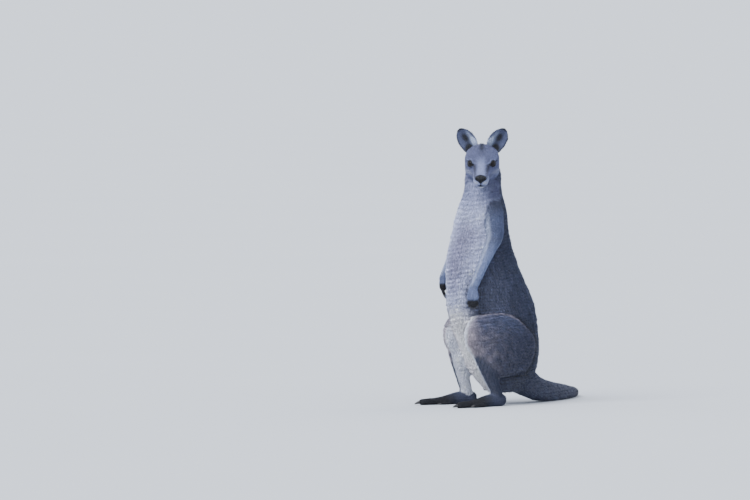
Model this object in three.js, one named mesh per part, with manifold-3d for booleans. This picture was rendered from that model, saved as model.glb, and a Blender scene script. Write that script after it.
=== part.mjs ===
// A grey kangaroo standing at ease, life size, as a still museum model.
//
// Millimetres, +Z up. The animal faces -Y, so its left side is +X. Its weight is on both long
// feet and on the root of the tail; the chest is turned a little to its left, and the head
// looks further round to the left. Every part is a closed solid with the outline of the coat.
//
// The body is made of lofts: a spine through a few stations, each with its half sizes. Limbs
// keep their whole shape, and what carries them is hollowed to fit, with a hairline gap.

import * as THREE from "three";
import { mergeVertices } from "three/addons/utils/BufferGeometryUtils.js";
import Module from "manifold-3d";

const wasm = await Module();
wasm.setup();

// ---- driving dimensions ------------------------------------------------------------------

const GAP = 0.3; // hairline between neighbouring parts
const SOLE = 1.5; // how far soles and tail are pressed flat at the floor

const STANCE = 102; // half distance between the feet
const LEGS = {
  left: { knee: -162, heel: 34 }, // how far forward the knee reaches, and where the heel stands
  right: { knee: -112, heel: 50 },
};
const FOOT_LENGTH = 268; // heel to the root of the long toe's claw
const FOOT_SPLAY = 6; // degrees that each foot turns out

const HEAD_YAW = 48; // degrees that the face is turned to the animal's left
const HEAD_PITCH = 20; // degrees that the muzzle points down
const HEAD_LENGTH = 192; // back of the skull to the tip of the nose
const EYE = { ahead: 99, side: 40, up: 29.5, radius: 14 };
const EAR = { ahead: 40, side: 41, up: 50, length: 112, width: 77, lean: 27, wall: 6 };

const degrees = THREE.MathUtils.degToRad;
const vec = (x, y, z) => new THREE.Vector3(x, y, z);

const NECK_TOP = vec(8, -2, 975); // back of the skull on the midline

// Joints of the arms; the right arm is carried higher and further back.
const ARMS = {
  left: { shoulder: vec(80, -8, 785), elbow: vec(126, -34, 678), wrist: vec(112, -137, 472) },
  right: { shoulder: vec(-76, -4, 785), elbow: vec(-120, -4, 690), wrist: vec(-131, -94, 506) },
};

// ---- finishes ----------------------------------------------------------------------------

const finish = (color, roughness) => new THREE.MeshStandardMaterial({ color, roughness, metalness: 0 });
const BACK_COAT = finish(0x4b4d60, 0.95);
const FLANK_COAT = finish(0x5a5c70, 0.95);
const PALE_COAT = finish(0xa6a8c0, 0.95);
const FACE_COAT = finish(0x80859c, 0.9);
const DARK_PAW = finish(0x2f3038, 0.9);
const CLAW_HORN = finish(0x17171b, 0.45);
const EYE_GLOSS = finish(0x120e0c, 0.08);
const NOSE_SKIN = finish(0x1a1a20, 0.6);

// ---- shape tools -------------------------------------------------------------------------

// The closed solid of a geometry, turned right way out.
function solidOf(geometry) {
  const bare = new THREE.BufferGeometry();
  bare.setAttribute("position", geometry.getAttribute("position").clone());
  if (geometry.index) bare.setIndex(geometry.index.clone());
  const merged = mergeVertices(bare, 1e-3);
  const triVerts = new Uint32Array(merged.index.array).filter((_, i, a) => {
    const first = i - (i % 3);
    return a[first] !== a[first + 1] && a[first + 1] !== a[first + 2] && a[first] !== a[first + 2];
  });
  const build = () =>
    new wasm.Manifold(
      new wasm.Mesh({ numProp: 3, vertProperties: merged.attributes.position.array, triVerts }),
    );
  let solid = build();
  if (solid.volume() < 0) {
    for (let i = 0; i < triVerts.length; i += 3) {
      [triVerts[i + 1], triVerts[i + 2]] = [triVerts[i + 2], triVerts[i + 1]];
    }
    solid = build();
  }
  return solid;
}

// The geometry of a solid's largest piece, so that no crumb is left by a cut.
function geometryOf(solid) {
  const pieces = solid.decompose().sort((a, b) => b.volume() - a.volume());
  const mesh = pieces[0].getMesh();
  const geometry = new THREE.BufferGeometry();
  geometry.setAttribute("position", new THREE.BufferAttribute(new Float32Array(mesh.vertProperties), 3));
  geometry.setIndex(new THREE.BufferAttribute(new Uint32Array(mesh.triVerts), 1));
  return geometry;
}

// A copy of a solid grown outwards on all sides, as a cutter that leaves a gap. Each corner
// moves far enough for all of its faces to clear the solid.
function grown(solid, by = GAP) {
  const geometry = geometryOf(solid);
  geometry.computeVertexNormals();
  const { position, normal } = geometry.attributes;
  const corner = (i) => new THREE.Vector3().fromBufferAttribute(position, i);
  const out = (i) => new THREE.Vector3().fromBufferAttribute(normal, i);
  const steepest = new Float32Array(position.count).fill(1);
  const faces = geometry.index.array;
  for (let i = 0; i < faces.length; i += 3) {
    const [a, b, c] = faces.slice(i, i + 3);
    const facing = new THREE.Triangle(corner(a), corner(b), corner(c)).getNormal(new THREE.Vector3());
    for (const v of [a, b, c]) steepest[v] = Math.min(steepest[v], facing.dot(out(v)));
  }
  for (let i = 0; i < position.count; i++) {
    const moved = corner(i).addScaledVector(out(i), by / Math.max(steepest[i], 0.3));
    position.setXYZ(i, ...moved.toArray());
  }
  return solidOf(geometry);
}

// The box between two corners, as a solid.
function block(low, high) {
  const size = high.clone().sub(low);
  const centre = low.clone().add(high).multiplyScalar(0.5);
  return solidOf(new THREE.BoxGeometry(size.x, size.y, size.z).translate(centre.x, centre.y, centre.z));
}

// The part of a solid between two planes across an axis, each held half a gap back.
function slab(solid, axis, low, high) {
  const from = vec(-2000, -2000, -2000).setComponent(axis, low + GAP / 2);
  const to = vec(2000, 2000, 2000).setComponent(axis, high - GAP / 2);
  return solid.intersect(block(from, to));
}

const Y = 1;
const Z = 2;

// Lofts a closed body. The first and last stations are its poles; each station between has
// at: its centre, side: its half width, front and back: its half sizes along and against
// `toward`, and, where they aren't 0 and 2, yaw in degrees and the roundness `power`.
// Swells push the surface out from the spine round a point, by `push` within `reach`.
// Rings stand square to the spine, or lie level. Nothing reaches below the height `floor`.
function loft(stations, { around, rows, cap = 3, toward, swells = [], level = false, floor = -500 }) {
  const spine = new THREE.CatmullRomCurve3(stations.map((s) => s.at.clone()));
  const inner = stations.slice(1, -1);
  const curveOf = (read) => {
    const points = inner.map((s) => vec(...read(s)));
    return new THREE.CatmullRomCurve3(points, false, "catmullrom");
  };
  const girth = curveOf((s) => [s.side, s.front, s.back]);
  const twist = curveOf((s) => [s.yaw ?? 0, s.power ?? 2, 0]);
  const last = stations.length - 1;

  const ring = (place, size, t) => {
    const [yaw, power] = twist.getPoint(t).toArray();
    const tangent = level ? vec(0, 0, 1) : spine.getTangent(THREE.MathUtils.clamp(place, 0.001, 0.999));
    const lateral = vec(Math.cos(degrees(yaw)), Math.sin(degrees(yaw)), 0);
    lateral.addScaledVector(tangent, -lateral.dot(tangent)).normalize();
    const forward = tangent.clone().cross(lateral);
    if (forward.dot(toward) < 0) forward.negate();
    const centre = spine.getPoint(place);
    const half = girth.getPoint(t).multiplyScalar(size);
    return Array.from({ length: around }, (_, i) => {
      const angle = (i / around) * 2 * Math.PI;
      const across = Math.sign(Math.cos(angle)) * Math.abs(Math.cos(angle)) ** (2 / power);
      const along = Math.sign(Math.sin(angle)) * Math.abs(Math.sin(angle)) ** (2 / power);
      const point = centre
        .clone()
        .addScaledVector(lateral, across * half.x)
        .addScaledVector(forward, along * (along > 0 ? half.y : half.z));
      const out = point.clone().sub(centre).normalize();
      for (const { at, reach, push } of swells) {
        point.addScaledVector(out, push * Math.exp(-point.distanceToSquared(at) / reach ** 2));
      }
      point.z = Math.max(point.z, floor);
      return point;
    });
  };

  const rings = [];
  for (let i = 1; i <= cap; i++) {
    const angle = ((i / (cap + 1)) * Math.PI) / 2;
    rings.push(ring((1 - Math.cos(angle)) / last, Math.sin(angle), 0));
  }
  for (let i = 0; i <= rows; i++) {
    rings.push(ring((1 + (i / rows) * (last - 2)) / last, 1, i / rows));
  }
  for (let i = cap; i >= 1; i--) {
    const angle = ((i / (cap + 1)) * Math.PI) / 2;
    rings.push(ring(1 - (1 - Math.cos(angle)) / last, Math.sin(angle), 1));
  }
  return closedSkin(stations[0].at, rings, stations[last].at);
}

// The solid inside a stack of rings, closed to a pole at each end.
function closedSkin(firstPole, rings, lastPole) {
  const around = rings[0].length;
  const points = [firstPole, ...rings.flat(), lastPole];
  const at = (row, i) => 1 + row * around + (i % around);
  const faces = [];
  for (let i = 0; i < around; i++) {
    faces.push(0, at(0, i + 1), at(0, i));
    for (let row = 0; row + 1 < rings.length; row++) {
      faces.push(at(row, i), at(row, i + 1), at(row + 1, i + 1));
      faces.push(at(row, i), at(row + 1, i + 1), at(row + 1, i));
    }
    faces.push(points.length - 1, at(rings.length - 1, i), at(rings.length - 1, i + 1));
  }
  const geometry = new THREE.BufferGeometry().setFromPoints(points);
  geometry.setIndex(faces);
  return solidOf(geometry);
}

// A round tapered finger or claw through a few points, each with its radius.
function taper(points, radii, options) {
  const stations = points.map((at, i) => ({ at, side: radii[i], front: radii[i], back: radii[i] }));
  return loft(stations, { cap: 1, toward: vec(0, 0.2, 1), ...options });
}

const join = (sum, solid) => sum.add(solid);
const cut = (rest, cutter) => rest.subtract(cutter);
const mirrored = (solid) => solid.mirror([1, 0, 0]);
const mix = (from, to, share) => from.clone().lerp(to, share);
const mixed = (from, to, share) => from + (to - from) * share;
const placed = (solid, matrix) => solid.transform(matrix.toArray());

// ---- trunk, neck and tail ----------------------------------------------------------------

// From the seat up to the top of the neck: height, middle of the depth, half width, half
// depths at the belly and at the back, and how far the chest turns to the left.
const BODY = [
  { at: vec(0, 112, 38) },
  { at: vec(0, 108, 70), side: 78, front: 90, back: 112 },
  { at: vec(0, 98, 110), side: 102, front: 116, back: 146 },
  { at: vec(0, 85, 165), side: 122, front: 142, back: 182 },
  { at: vec(0, 74, 235), side: 132, front: 160, back: 195 },
  { at: vec(0, 64, 310), side: 132, front: 190, back: 197 },
  { at: vec(0, 46, 389), side: 130, front: 205, back: 206 },
  { at: vec(1, 25, 468), side: 128, front: 187, back: 185, yaw: 2 },
  { at: vec(2, 0, 547), side: 118, front: 170, back: 170, yaw: 4 },
  { at: vec(3, -12, 626), side: 104, front: 151, back: 151, yaw: 6 },
  { at: vec(3, -11, 706), side: 95, front: 127, back: 128, yaw: 8 },
  { at: vec(3, -7, 769), side: 91, front: 115, back: 117, yaw: 12 },
  { at: vec(3, -2, 812), side: 84, front: 94, back: 95, yaw: 18 },
  { at: vec(4, 0, 848), side: 75, front: 83, back: 84, yaw: 25 },
  { at: vec(5, 0, 885), side: 72, front: 76, back: 79, yaw: 32 },
  { at: vec(6, 1, 920), side: 73, front: 68, back: 73, yaw: 40 },
  { at: vec(6, 0, 956), side: 65, front: 50, back: 54, yaw: 46 },
  { at: vec(9, -1, 994) },
];
const SHOULDER_BLADES = [
  { at: vec(70, 30, 770), reach: 60, push: 8 },
  { at: vec(-70, 30, 770), reach: 60, push: 8 },
];
const CUTS = { rump: 0, belly: 300, chest: 560, neck: 822, skull: 1000 };

const body = loft(BODY, {
  around: 18,
  rows: 17,
  cap: 2,
  toward: vec(0, -1, 0),
  swells: SHOULDER_BLADES,
  level: true,
});

// The tail leaves the rump low down, meets the floor behind the heels and trails off to the
// right: distance back, sideways, radius, and how far it is still off the floor.
const TAIL = [
  { back: 120, aside: 0, radius: 74, lift: 66 },
  { back: 200, aside: -2, radius: 67, lift: 32 },
  { back: 280, aside: -12, radius: 54, lift: 4 },
  { back: 365, aside: -34, radius: 44 },
  { back: 450, aside: -68, radius: 36.5 },
  { back: 530, aside: -112, radius: 30.5 },
  { back: 605, aside: -164, radius: 25 },
  { back: 668, aside: -222, radius: 20 },
  { back: 718, aside: -284, radius: 15 },
];
const TAIL_CUTS = [330, 470, 600];

function tailSolid() {
  const centre = ({ back, aside, radius, lift = 0 }) => vec(aside, back, radius + lift - SOLE);
  const stations = TAIL.map((s) => ({
    at: centre(s),
    side: s.radius,
    front: s.radius * 0.98,
    back: s.radius,
  }));
  const start = { at: vec(0, 60, 170) };
  const tip = { at: vec(-322, 746, 8) };
  const options = { around: 10, rows: 13, cap: 2, toward: vec(0, 0, 1), floor: 0 };
  return loft([start, ...stations, tip], options);
}

// ---- limbs, made for the left side and mirrored for the right ----------------------------

// The arm hangs in front of the flank, the elbow back and the forearm forward.
function armSolid({ shoulder, elbow, wrist }) {
  const inward = Math.sign(-shoulder.x);
  return loft(
    [
      { at: shoulder.clone().add(vec(inward * 24, 12, 40)) },
      { at: shoulder, side: 36, front: 42, back: 46 },
      { at: mix(shoulder, elbow, 0.5), side: 34, front: 42, back: 44 },
      { at: mix(shoulder, elbow, 0.95), side: 29, front: 34, back: 39 },
      { at: mix(elbow, wrist, 0.2), side: 25, front: 26, back: 28 },
      { at: mix(elbow, wrist, 0.45), side: 21, front: 21, back: 22 },
      { at: mix(elbow, wrist, 0.75), side: 18, front: 18, back: 19 },
      { at: wrist, side: 17, front: 17, back: 18 },
      { at: wrist.clone().add(vec(0, -8, -22)) },
    ],
    { around: 10, rows: 10, cap: 2, toward: vec(0, -1, 0) },
  );
}

const PALM_LENGTH = 46;
const FINGERS = [
  { spread: -17, length: 24, radius: 6 },
  { spread: -9, length: 32, radius: 6.8 },
  { spread: 0, length: 35, radius: 7 },
  { spread: 9, length: 32, radius: 6.8 },
  { spread: 17, length: 24, radius: 6 },
];
const FINGER_CLAW = { length: 17, radius: 3.1 };

// The hand hangs from the wrist along -Z, its back to the front, its fingers curled back.
function palm() {
  return loft(
    [
      { at: vec(0, 0, 10) },
      { at: vec(0, 0, 0), side: 17, front: 14, back: 15 },
      { at: vec(0, -2, -18), side: 22, front: 14, back: 16, power: 2.2 },
      { at: vec(0, -1, -36), side: 25, front: 14, back: 16, power: 2.3 },
      { at: vec(0, 3, -PALM_LENGTH - 6) },
    ],
    { around: 8, rows: 2, cap: 1, toward: vec(0, -1, 0) },
  );
}

function finger({ spread, length, radius }) {
  const root = vec(spread * 0.8, 2, -PALM_LENGTH + 12);
  const knuckle = vec(spread, 0, -PALM_LENGTH - length * 0.25);
  const tip = vec(spread * 1.06, 7, -PALM_LENGTH - length * 0.75);
  const end = vec(spread * 1.08, 10, -PALM_LENGTH - length * 0.92);
  const radii = [0, radius * 1.05, radius * 0.85, 0];
  return taper([root, knuckle, tip, end], radii, { around: 5, rows: 1, cap: 0 });
}

function fingerClaw({ spread, length }) {
  const drop = -PALM_LENGTH - length * 0.7;
  const { length: l, radius: r } = FINGER_CLAW;
  return taper(
    [
      vec(spread * 1.05, 3, drop + 4),
      vec(spread * 1.06, 4, drop - 1),
      vec(spread * 1.08, 9, drop - l * 0.55),
      vec(spread * 1.08, 16, drop - l * 0.8),
    ],
    [0, r, r * 0.75, 0],
    { around: 5, rows: 1, cap: 0 },
  );
}

// The haunch is deep and rounded; its front end is the knee.
function thighSolid({ knee }) {
  const shift = knee - LEGS.left.knee;
  return loft(
    [
      { at: vec(87, 184, 208) },
      { at: vec(94, 114, 224), side: 59, front: 97, back: 110 },
      { at: vec(101, 38, 246), side: 68, front: 128, back: 142 },
      { at: vec(103, -42 + shift * 0.6, 268), side: 62, front: 120, back: 126 },
      { at: vec(100, -106 + shift, 284), side: 46, front: 82, back: 84 },
      { at: vec(98, knee, 290) },
    ],
    { around: 14, rows: 6, cap: 2, toward: vec(0, 0, 1) },
  );
}

// Knee to heel.
function shankSolid({ knee, heel }) {
  const kneeShift = knee - LEGS.left.knee;
  const heelShift = heel - LEGS.left.heel;
  return loft(
    [
      { at: vec(99, -96 + kneeShift, 300) },
      { at: vec(100, -92 + kneeShift, 252), side: 40, front: 48, back: 54 },
      { at: vec(103, -72 + mixed(heelShift, kneeShift, 0.65), 180), side: 34, front: 40, back: 48 },
      { at: vec(105, -42 + mixed(heelShift, kneeShift, 0.3), 112), side: 27, front: 31, back: 34 },
      { at: vec(STANCE + 3, -14 + heelShift, 58), side: 23, front: 26, back: 28 },
      { at: vec(STANCE + 3, 2 + heelShift, 26) },
    ],
    { around: 10, rows: 5, cap: 2, toward: vec(0, -1, 0) },
  );
}

// The foot in its own frame: heel at the origin, toes along -Y, the left foot's outside +X.
// The long fourth toe runs on from the sole; the fifth is beside it; the second and third are
// joined in one small toe with two claws.
const FOOT = [
  { at: vec(0, 4, 24) },
  { at: vec(0, -20, 25), side: 21, front: 26, back: 27 },
  { at: vec(0, -64, 24), side: 23, front: 30, back: 26 },
  { at: vec(-1, -112, 20), side: 26, front: 24, back: 22 },
  { at: vec(-1, -146, 18), side: 28, front: 17, back: 20 },
  { at: vec(0, -180, 15), side: 18, front: 14, back: 17 },
  { at: vec(0, -222, 14), side: 14, front: 13, back: 16 },
  { at: vec(0, -FOOT_LENGTH + 12, 13), side: 13, front: 12, back: 15 },
  { at: vec(0, -FOOT_LENGTH, 12) },
];
const SIDE_TOES = [
  { aside: 24, from: 136, to: 198, radius: 10, broad: 1 },
  { aside: -21, from: 132, to: 184, radius: 7, broad: 1.6 },
];
const TOE_CLAWS = [
  { name: "fourth", aside: 0, from: FOOT_LENGTH - 2, rise: 12, length: 34, radius: 7 },
  { name: "fifth", aside: 24, from: 196, rise: 9, length: 22, radius: 5 },
  { name: "third", aside: -16, from: 182, rise: 6, length: 13, radius: 2.8 },
  { name: "second", aside: -26, from: 180, rise: 6, length: 13, radius: 2.8 },
];

function sideToe({ aside, from, to, radius, broad }) {
  const size = { side: radius * broad, front: radius, back: radius };
  return loft(
    [
      { at: vec(aside * 0.7, -from + 14, radius) },
      { at: vec(aside * 0.85, -from - 6, radius - 1), ...size },
      { at: vec(aside, -to + 10, radius - 1), ...size },
      { at: vec(aside, -to, radius - 1) },
    ],
    { around: 6, rows: 1, cap: 1, toward: vec(0, 0, 1), floor: 0.4 },
  );
}

function toeClaw({ aside, from, rise, length, radius }) {
  return taper(
    [
      vec(aside, -from + 9, rise),
      vec(aside, -from + 2, rise),
      vec(aside, -from - length * 0.5, rise * 0.75),
      vec(aside, -from - length, radius * 0.3),
    ],
    [0, radius, radius * 0.75, 0],
    { around: 5, rows: 1, cap: 0, floor: 0.4 },
  );
}

// ---- head, in its own frame: back of the skull at the origin, nose along -Y ---------------

const HEAD = [
  { at: vec(0, 12, 2) },
  { at: vec(0, -14, 8), side: 54, front: 58, back: 52, power: 2.2 },
  { at: vec(0, -44, 10), side: 65, front: 74, back: 62, power: 2.5 },
  { at: vec(0, -78, 8), side: 65, front: 58, back: 63, power: 2.5 },
  { at: vec(0, -104, 4), side: 49, front: 42, back: 52, power: 2.2 },
  { at: vec(0, -132, -1), side: 34, front: 32, back: 43, power: 2.2 },
  { at: vec(0, -160, -5), side: 29, front: 22, back: 38, power: 2.3 },
  { at: vec(0, -180, -9), side: 26, front: 17, back: 33, power: 2.4 },
  { at: vec(0, -HEAD_LENGTH, -12) },
];
const mirrorPair = ({ at, ...rest }) => [
  { at, ...rest },
  { at: vec(-at.x, at.y, at.z), ...rest },
];
const HEAD_SWELLS = [
  ...mirrorPair({ at: vec(48, -88, 46), reach: 18, push: 5 }), // brow
  ...mirrorPair({ at: vec(42, -122, 18), reach: 20, push: -6 }), // hollow before the eye
  ...mirrorPair({ at: vec(56, -66, -26), reach: 34, push: 5 }), // cheek
  ...mirrorPair({ at: vec(28, -166, -22), reach: 20, push: 5 }), // whisker pad
  ...mirrorPair({ at: vec(52, -50, 46), reach: 28, push: 8 }), // temple
  { at: vec(0, -34, 74), reach: 34, push: 6 }, // crown
];

const JAW = [
  { at: vec(0, -70, -44) },
  { at: vec(0, -92, -40), side: 30, front: 10, back: 20 },
  { at: vec(0, -128, -39), side: 24, front: 8, back: 15 },
  { at: vec(0, -158, -40), side: 20, front: 7, back: 13 },
  { at: vec(0, -170, -40), side: 15, front: 6, back: 10 },
  { at: vec(0, -180, -39) },
];

const NOSE = { width: 21, height: 14.5, depth: 12, ahead: HEAD_LENGTH - 8, up: -6 };

// The ear is a leaf-shaped dish, rolled narrow at its root, opening forward. Its lower half
// lies nearer the crown, so the outer edge draws in further than the inner one.
function earSolid(sideways) {
  const { length, width, wall } = EAR;
  const rows = 7;
  const across = 5;
  const rings = [];
  for (let row = 0; row <= rows; row++) {
    const share = 1 - (1 - row / rows) ** 1.5;
    const leaf = Math.sin(Math.PI * Math.min(0.08 + 0.92 * share ** 1.2, 1)) ** 0.55;
    const half = Math.max((width / 2) * leaf, 1.2);
    const cup = 9 + 10 * (1 - share);
    const rootWall = 10 * (1 - share) ** 3;
    const depth = cup * Math.min(1, half / 20);
    const lift = -10 + share * (length + 10);
    const middleLine = -7 * sideways * (1 - share);
    const bow = 6 * Math.sin(Math.PI * share);
    const face = (i, side) => {
      const q = -1 + (2 * i) / across;
      const thick = wall * (0.5 + 0.5 * Math.sqrt(1 - q * q)) * Math.min(1, 0.35 + half / 30) + rootWall;
      return vec(middleLine + q * half, bow + depth * (1 - q * q) + (side * thick) / 2, lift);
    };
    const steps = Array.from({ length: across + 1 }, (_, i) => i);
    const outline = [...steps.map((i) => face(i, 1)), ...steps.reverse().map((i) => face(i, -1))];
    rings.push(outline);
  }
  const middle = (ring) => ring.reduce((sum, p) => sum.add(p), vec(0, 0, 0)).divideScalar(ring.length);
  return closedSkin(middle(rings[0]), rings, middle(rings[rows]).add(vec(0, 0, 1.5)));
}

function earMatrix(sideways) {
  const { ahead, side, up, lean } = EAR;
  return new THREE.Matrix4()
    .makeTranslation(sideways * side, -ahead, up)
    .multiply(new THREE.Matrix4().makeRotationX(degrees(6 - HEAD_PITCH)))
    .multiply(new THREE.Matrix4().makeRotationY(degrees(sideways * lean)))
    .multiply(new THREE.Matrix4().makeRotationZ(degrees(sideways * 14)));
}

// ---- assembly ----------------------------------------------------------------------------

const kangaroo = new THREE.Group();

function add(name, solid, material, parent = kangaroo) {
  const mesh = new THREE.Mesh(geometryOf(solid), material);
  mesh.name = name;
  parent.add(mesh);
}

// Head: the group turns it, so its own parts are cut in its own frame.
const headGroup = new THREE.Group();
headGroup.position.copy(NECK_TOP);
headGroup.rotation.set(degrees(HEAD_PITCH), 0, degrees(HEAD_YAW), "ZYX");
headGroup.updateMatrix();
kangaroo.add(headGroup);

const skull = loft(HEAD, { around: 20, rows: 12, cap: 2, toward: vec(0, 0, 1), swells: HEAD_SWELLS });
const jaw = loft(JAW, { around: 10, rows: 4, cap: 2, toward: vec(0, 0, 1) });
const nose = placed(
  solidOf(new THREE.SphereGeometry(1, 10, 6)),
  new THREE.Matrix4()
    .makeTranslation(0, -NOSE.ahead, NOSE.up)
    .scale(vec(NOSE.width, NOSE.depth, NOSE.height)),
);
const eyes = [1, -1].map((sideways) =>
  solidOf(new THREE.SphereGeometry(EYE.radius, 10, 6).translate(sideways * EYE.side, -EYE.ahead, EYE.up)),
);
const ears = [1, -1].map((sideways) =>
  placed(earSolid(sideways), earMatrix(sideways)).subtract(grown(skull)),
);

const head = [jaw, nose, ...eyes].map((solid) => grown(solid)).reduce(cut, skull);
add("head", head, FACE_COAT, headGroup);
add("lower_jaw", jaw, PALE_COAT, headGroup);
add("nose", nose, NOSE_SKIN, headGroup);
["left", "right"].forEach((side, i) => {
  add(`eye_${side}`, eyes[i], EYE_GLOSS, headGroup);
  add(`ear_${side}`, ears[i], FACE_COAT, headGroup);
});
const headInBody = placed(skull.add(jaw), headGroup.matrix);

// Limbs. The trunk is hollowed for them later.
const limbCutters = [];
for (const side of ["left", "right"]) {
  const sided = (solid) => (side === "left" ? solid : mirrored(solid));

  const { elbow, wrist } = ARMS[side];
  const arm = armSolid(ARMS[side]);
  add(`upper_arm_${side}`, slab(arm, Z, elbow.z, 2000), FLANK_COAT);
  add(`forearm_${side}`, slab(arm, Z, wrist.z, elbow.z), PALE_COAT);

  const hang = new THREE.Matrix4()
    .makeTranslation(Math.abs(wrist.x), wrist.y, wrist.z)
    .multiply(new THREE.Matrix4().makeRotationZ(degrees(38)));
  const fingers = FINGERS.map((f) => placed(finger(f), hang));
  const hand = fingers.reduce(join, placed(palm(), hang));
  add(`hand_${side}`, sided(slab(hand, Z, -2000, wrist.z)), DARK_PAW);
  FINGERS.forEach((f, i) => {
    const claw = fingers.map((solid) => grown(solid)).reduce(cut, placed(fingerClaw(f), hang));
    add(`hand_claw_${side}_${i + 1}`, sided(claw), CLAW_HORN);
  });

  const thigh = thighSolid(LEGS[side]);
  const shank = shankSolid(LEGS[side]);
  const stand = new THREE.Matrix4()
    .makeTranslation(STANCE, LEGS[side].heel, 0)
    .multiply(new THREE.Matrix4().makeRotationZ(degrees(FOOT_SPLAY)));
  const sole = loft(FOOT, { around: 10, rows: 7, cap: 1, toward: vec(0, 0, 1), floor: 0 });
  const toes = [sole, ...SIDE_TOES.map(sideToe)].map((solid) => placed(solid, stand));
  add(`thigh_${side}`, sided(thigh), FLANK_COAT);
  add(`shank_${side}`, sided(shank.subtract(grown(thigh))), FLANK_COAT);
  add(`foot_${side}`, sided(toes.reduce(join).subtract(grown(shank))), DARK_PAW);
  for (const dimensions of TOE_CLAWS) {
    const claw = toes.map((solid) => grown(solid)).reduce(cut, placed(toeClaw(dimensions), stand));
    add(`toe_claw_${side}_${dimensions.name}`, sided(claw), CLAW_HORN);
  }
  limbCutters.push(grown(arm), grown(sided(thigh)), grown(sided(shank)));
}

// Tail, in four lengths, fitted to the rump.
const tail = tailSolid().subtract(grown(body));
const lengths = [-2000, ...TAIL_CUTS, 2000];
["root", "upper", "middle", "tip"].forEach((name, i) => {
  const coat = i === 3 ? DARK_PAW : BACK_COAT;
  add(`tail_${name}`, slab(tail, Y, lengths[i], lengths[i + 1]), coat);
});

// Trunk and neck, hollowed for the limbs, the tail and the head, in four storeys.
const hollowed = [...limbCutters, grown(headInBody)].reduce(cut, body);
add("rump", slab(hollowed, Z, CUTS.rump, CUTS.belly), BACK_COAT);
add("belly", slab(hollowed, Z, CUTS.belly, CUTS.chest), FLANK_COAT);
add("chest", slab(hollowed, Z, CUTS.chest, CUTS.neck), PALE_COAT);
add("neck", slab(hollowed, Z, CUTS.neck, CUTS.skull + 100), BACK_COAT);

// The origin is on the floor, under the middle of the model.
const extent = new THREE.Box3().setFromObject(kangaroo, true);
const centre = extent.getCenter(new THREE.Vector3());
kangaroo.position.set(-centre.x, -centre.y, -extent.min.z);

export default kangaroo;
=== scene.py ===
import math

import bmesh
import bpy
import numpy as np
from mathutils import Matrix, Vector
from mathutils.bvhtree import BVHTree


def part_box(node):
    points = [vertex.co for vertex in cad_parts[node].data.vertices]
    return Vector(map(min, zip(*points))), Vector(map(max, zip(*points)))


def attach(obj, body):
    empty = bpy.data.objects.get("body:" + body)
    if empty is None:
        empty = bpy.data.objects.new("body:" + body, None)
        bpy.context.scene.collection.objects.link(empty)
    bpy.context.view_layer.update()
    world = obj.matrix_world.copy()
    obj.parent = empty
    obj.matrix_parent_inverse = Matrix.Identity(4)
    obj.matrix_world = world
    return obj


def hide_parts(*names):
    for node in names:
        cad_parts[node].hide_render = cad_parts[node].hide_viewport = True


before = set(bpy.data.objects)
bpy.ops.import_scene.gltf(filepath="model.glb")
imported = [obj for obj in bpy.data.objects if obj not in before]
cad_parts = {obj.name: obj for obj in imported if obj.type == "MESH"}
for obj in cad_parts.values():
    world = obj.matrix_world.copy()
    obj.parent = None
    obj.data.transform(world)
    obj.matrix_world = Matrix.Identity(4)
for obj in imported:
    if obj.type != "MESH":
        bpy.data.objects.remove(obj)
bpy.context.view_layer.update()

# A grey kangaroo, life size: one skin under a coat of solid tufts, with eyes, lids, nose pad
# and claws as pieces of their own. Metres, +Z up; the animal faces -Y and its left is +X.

MM = 0.001
SEED = 7
FAR = 1e9
WAVES_IN_ALL, WAVES_AT_ONCE = 9, 4.0  # how many waves are summed, and how many add up at most
JOINT_BLEND = 18  # over how much a joint of a limb or the tail turns, in millimetres

# ---- places on the body, in millimetres ----

HEAD_YAW, HEAD_PITCH = 48, 20  # degrees that the face is turned left and down
NECK_TOP = np.array([8.0, -2.0, 975.0])  # back of the skull, the middle of the head's axes
EYE = np.array([40.0, -99.0, 29.5])  # the left eye, in the head's axes
EYE_RADIUS = 14.0
GAZE = np.array([0.66, -0.72, 0.20])  # where the left eye looks
LID_LINE = np.array([-0.72, -0.64, -0.08])  # from its outer to its inner corner
LID_HALF, LID_UPPER, LID_LOWER = 0.92, 0.64, 0.52  # the open lids, in radians on the ball
NOSE = np.array([0.0, -184.0, -4.5])
NOSE_HALF = np.array([21.0, 12.0, 15.5])
CROWN = np.array([0.0, -46.0, 84.0])
EAR_ROOT = np.array([41.0, -40.0, 50.0])
EAR_LEAN, EAR_BACK, EAR_TURN = 27, 14, 14  # degrees
EAR_LENGTH, EAR_HALF, EAR_FOOT = 112.0, 38.5, 10  # to the tip; half width; depth in the head

SIDES = {"left": 1.0, "right": -1.0}
ARMS = {
    "left": ((80, -8, 785), (126, -34, 678), (112, -137, 472)),
    "right": ((-76, -4, 785), (-120, -4, 690), (-131, -94, 506)),
}
TAIL_LINE = ((0, 60, 170), (0, 120, 140), (-2, 200, 98), (-12, 280, 57), (-34, 365, 43),
             (-68, 450, 35), (-112, 530, 29), (-164, 605, 24), (-222, 668, 19), (-284, 718, 14),
             (-322, 746, 8))

FLESH = ["head", "lower_jaw", "neck", "chest", "belly", "rump",
         "tail_root", "tail_upper", "tail_middle", "tail_tip"]
FLESH += [f"{part}_{side}" for side in SIDES
          for part in ("ear", "upper_arm", "forearm", "hand", "thigh", "shank", "foot")]

# ---- small tools ----


def turn(axis, degrees):
    return np.array(Matrix.Rotation(math.radians(degrees), 3, axis))


def unit(v):
    return v / np.maximum(np.linalg.norm(v, axis=-1, keepdims=True), 1e-12)


def along_skin(way, normals):
    """A direction without the part of it that leaves the skin."""
    return unit(way - normals * (way * normals).sum(1, keepdims=True))


def ramp(x, low, high):
    """0 below low, 1 above high, smooth between."""
    t = np.clip((x - low) / (high - low), 0, 1)
    return t * t * (3 - 2 * t)


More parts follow.
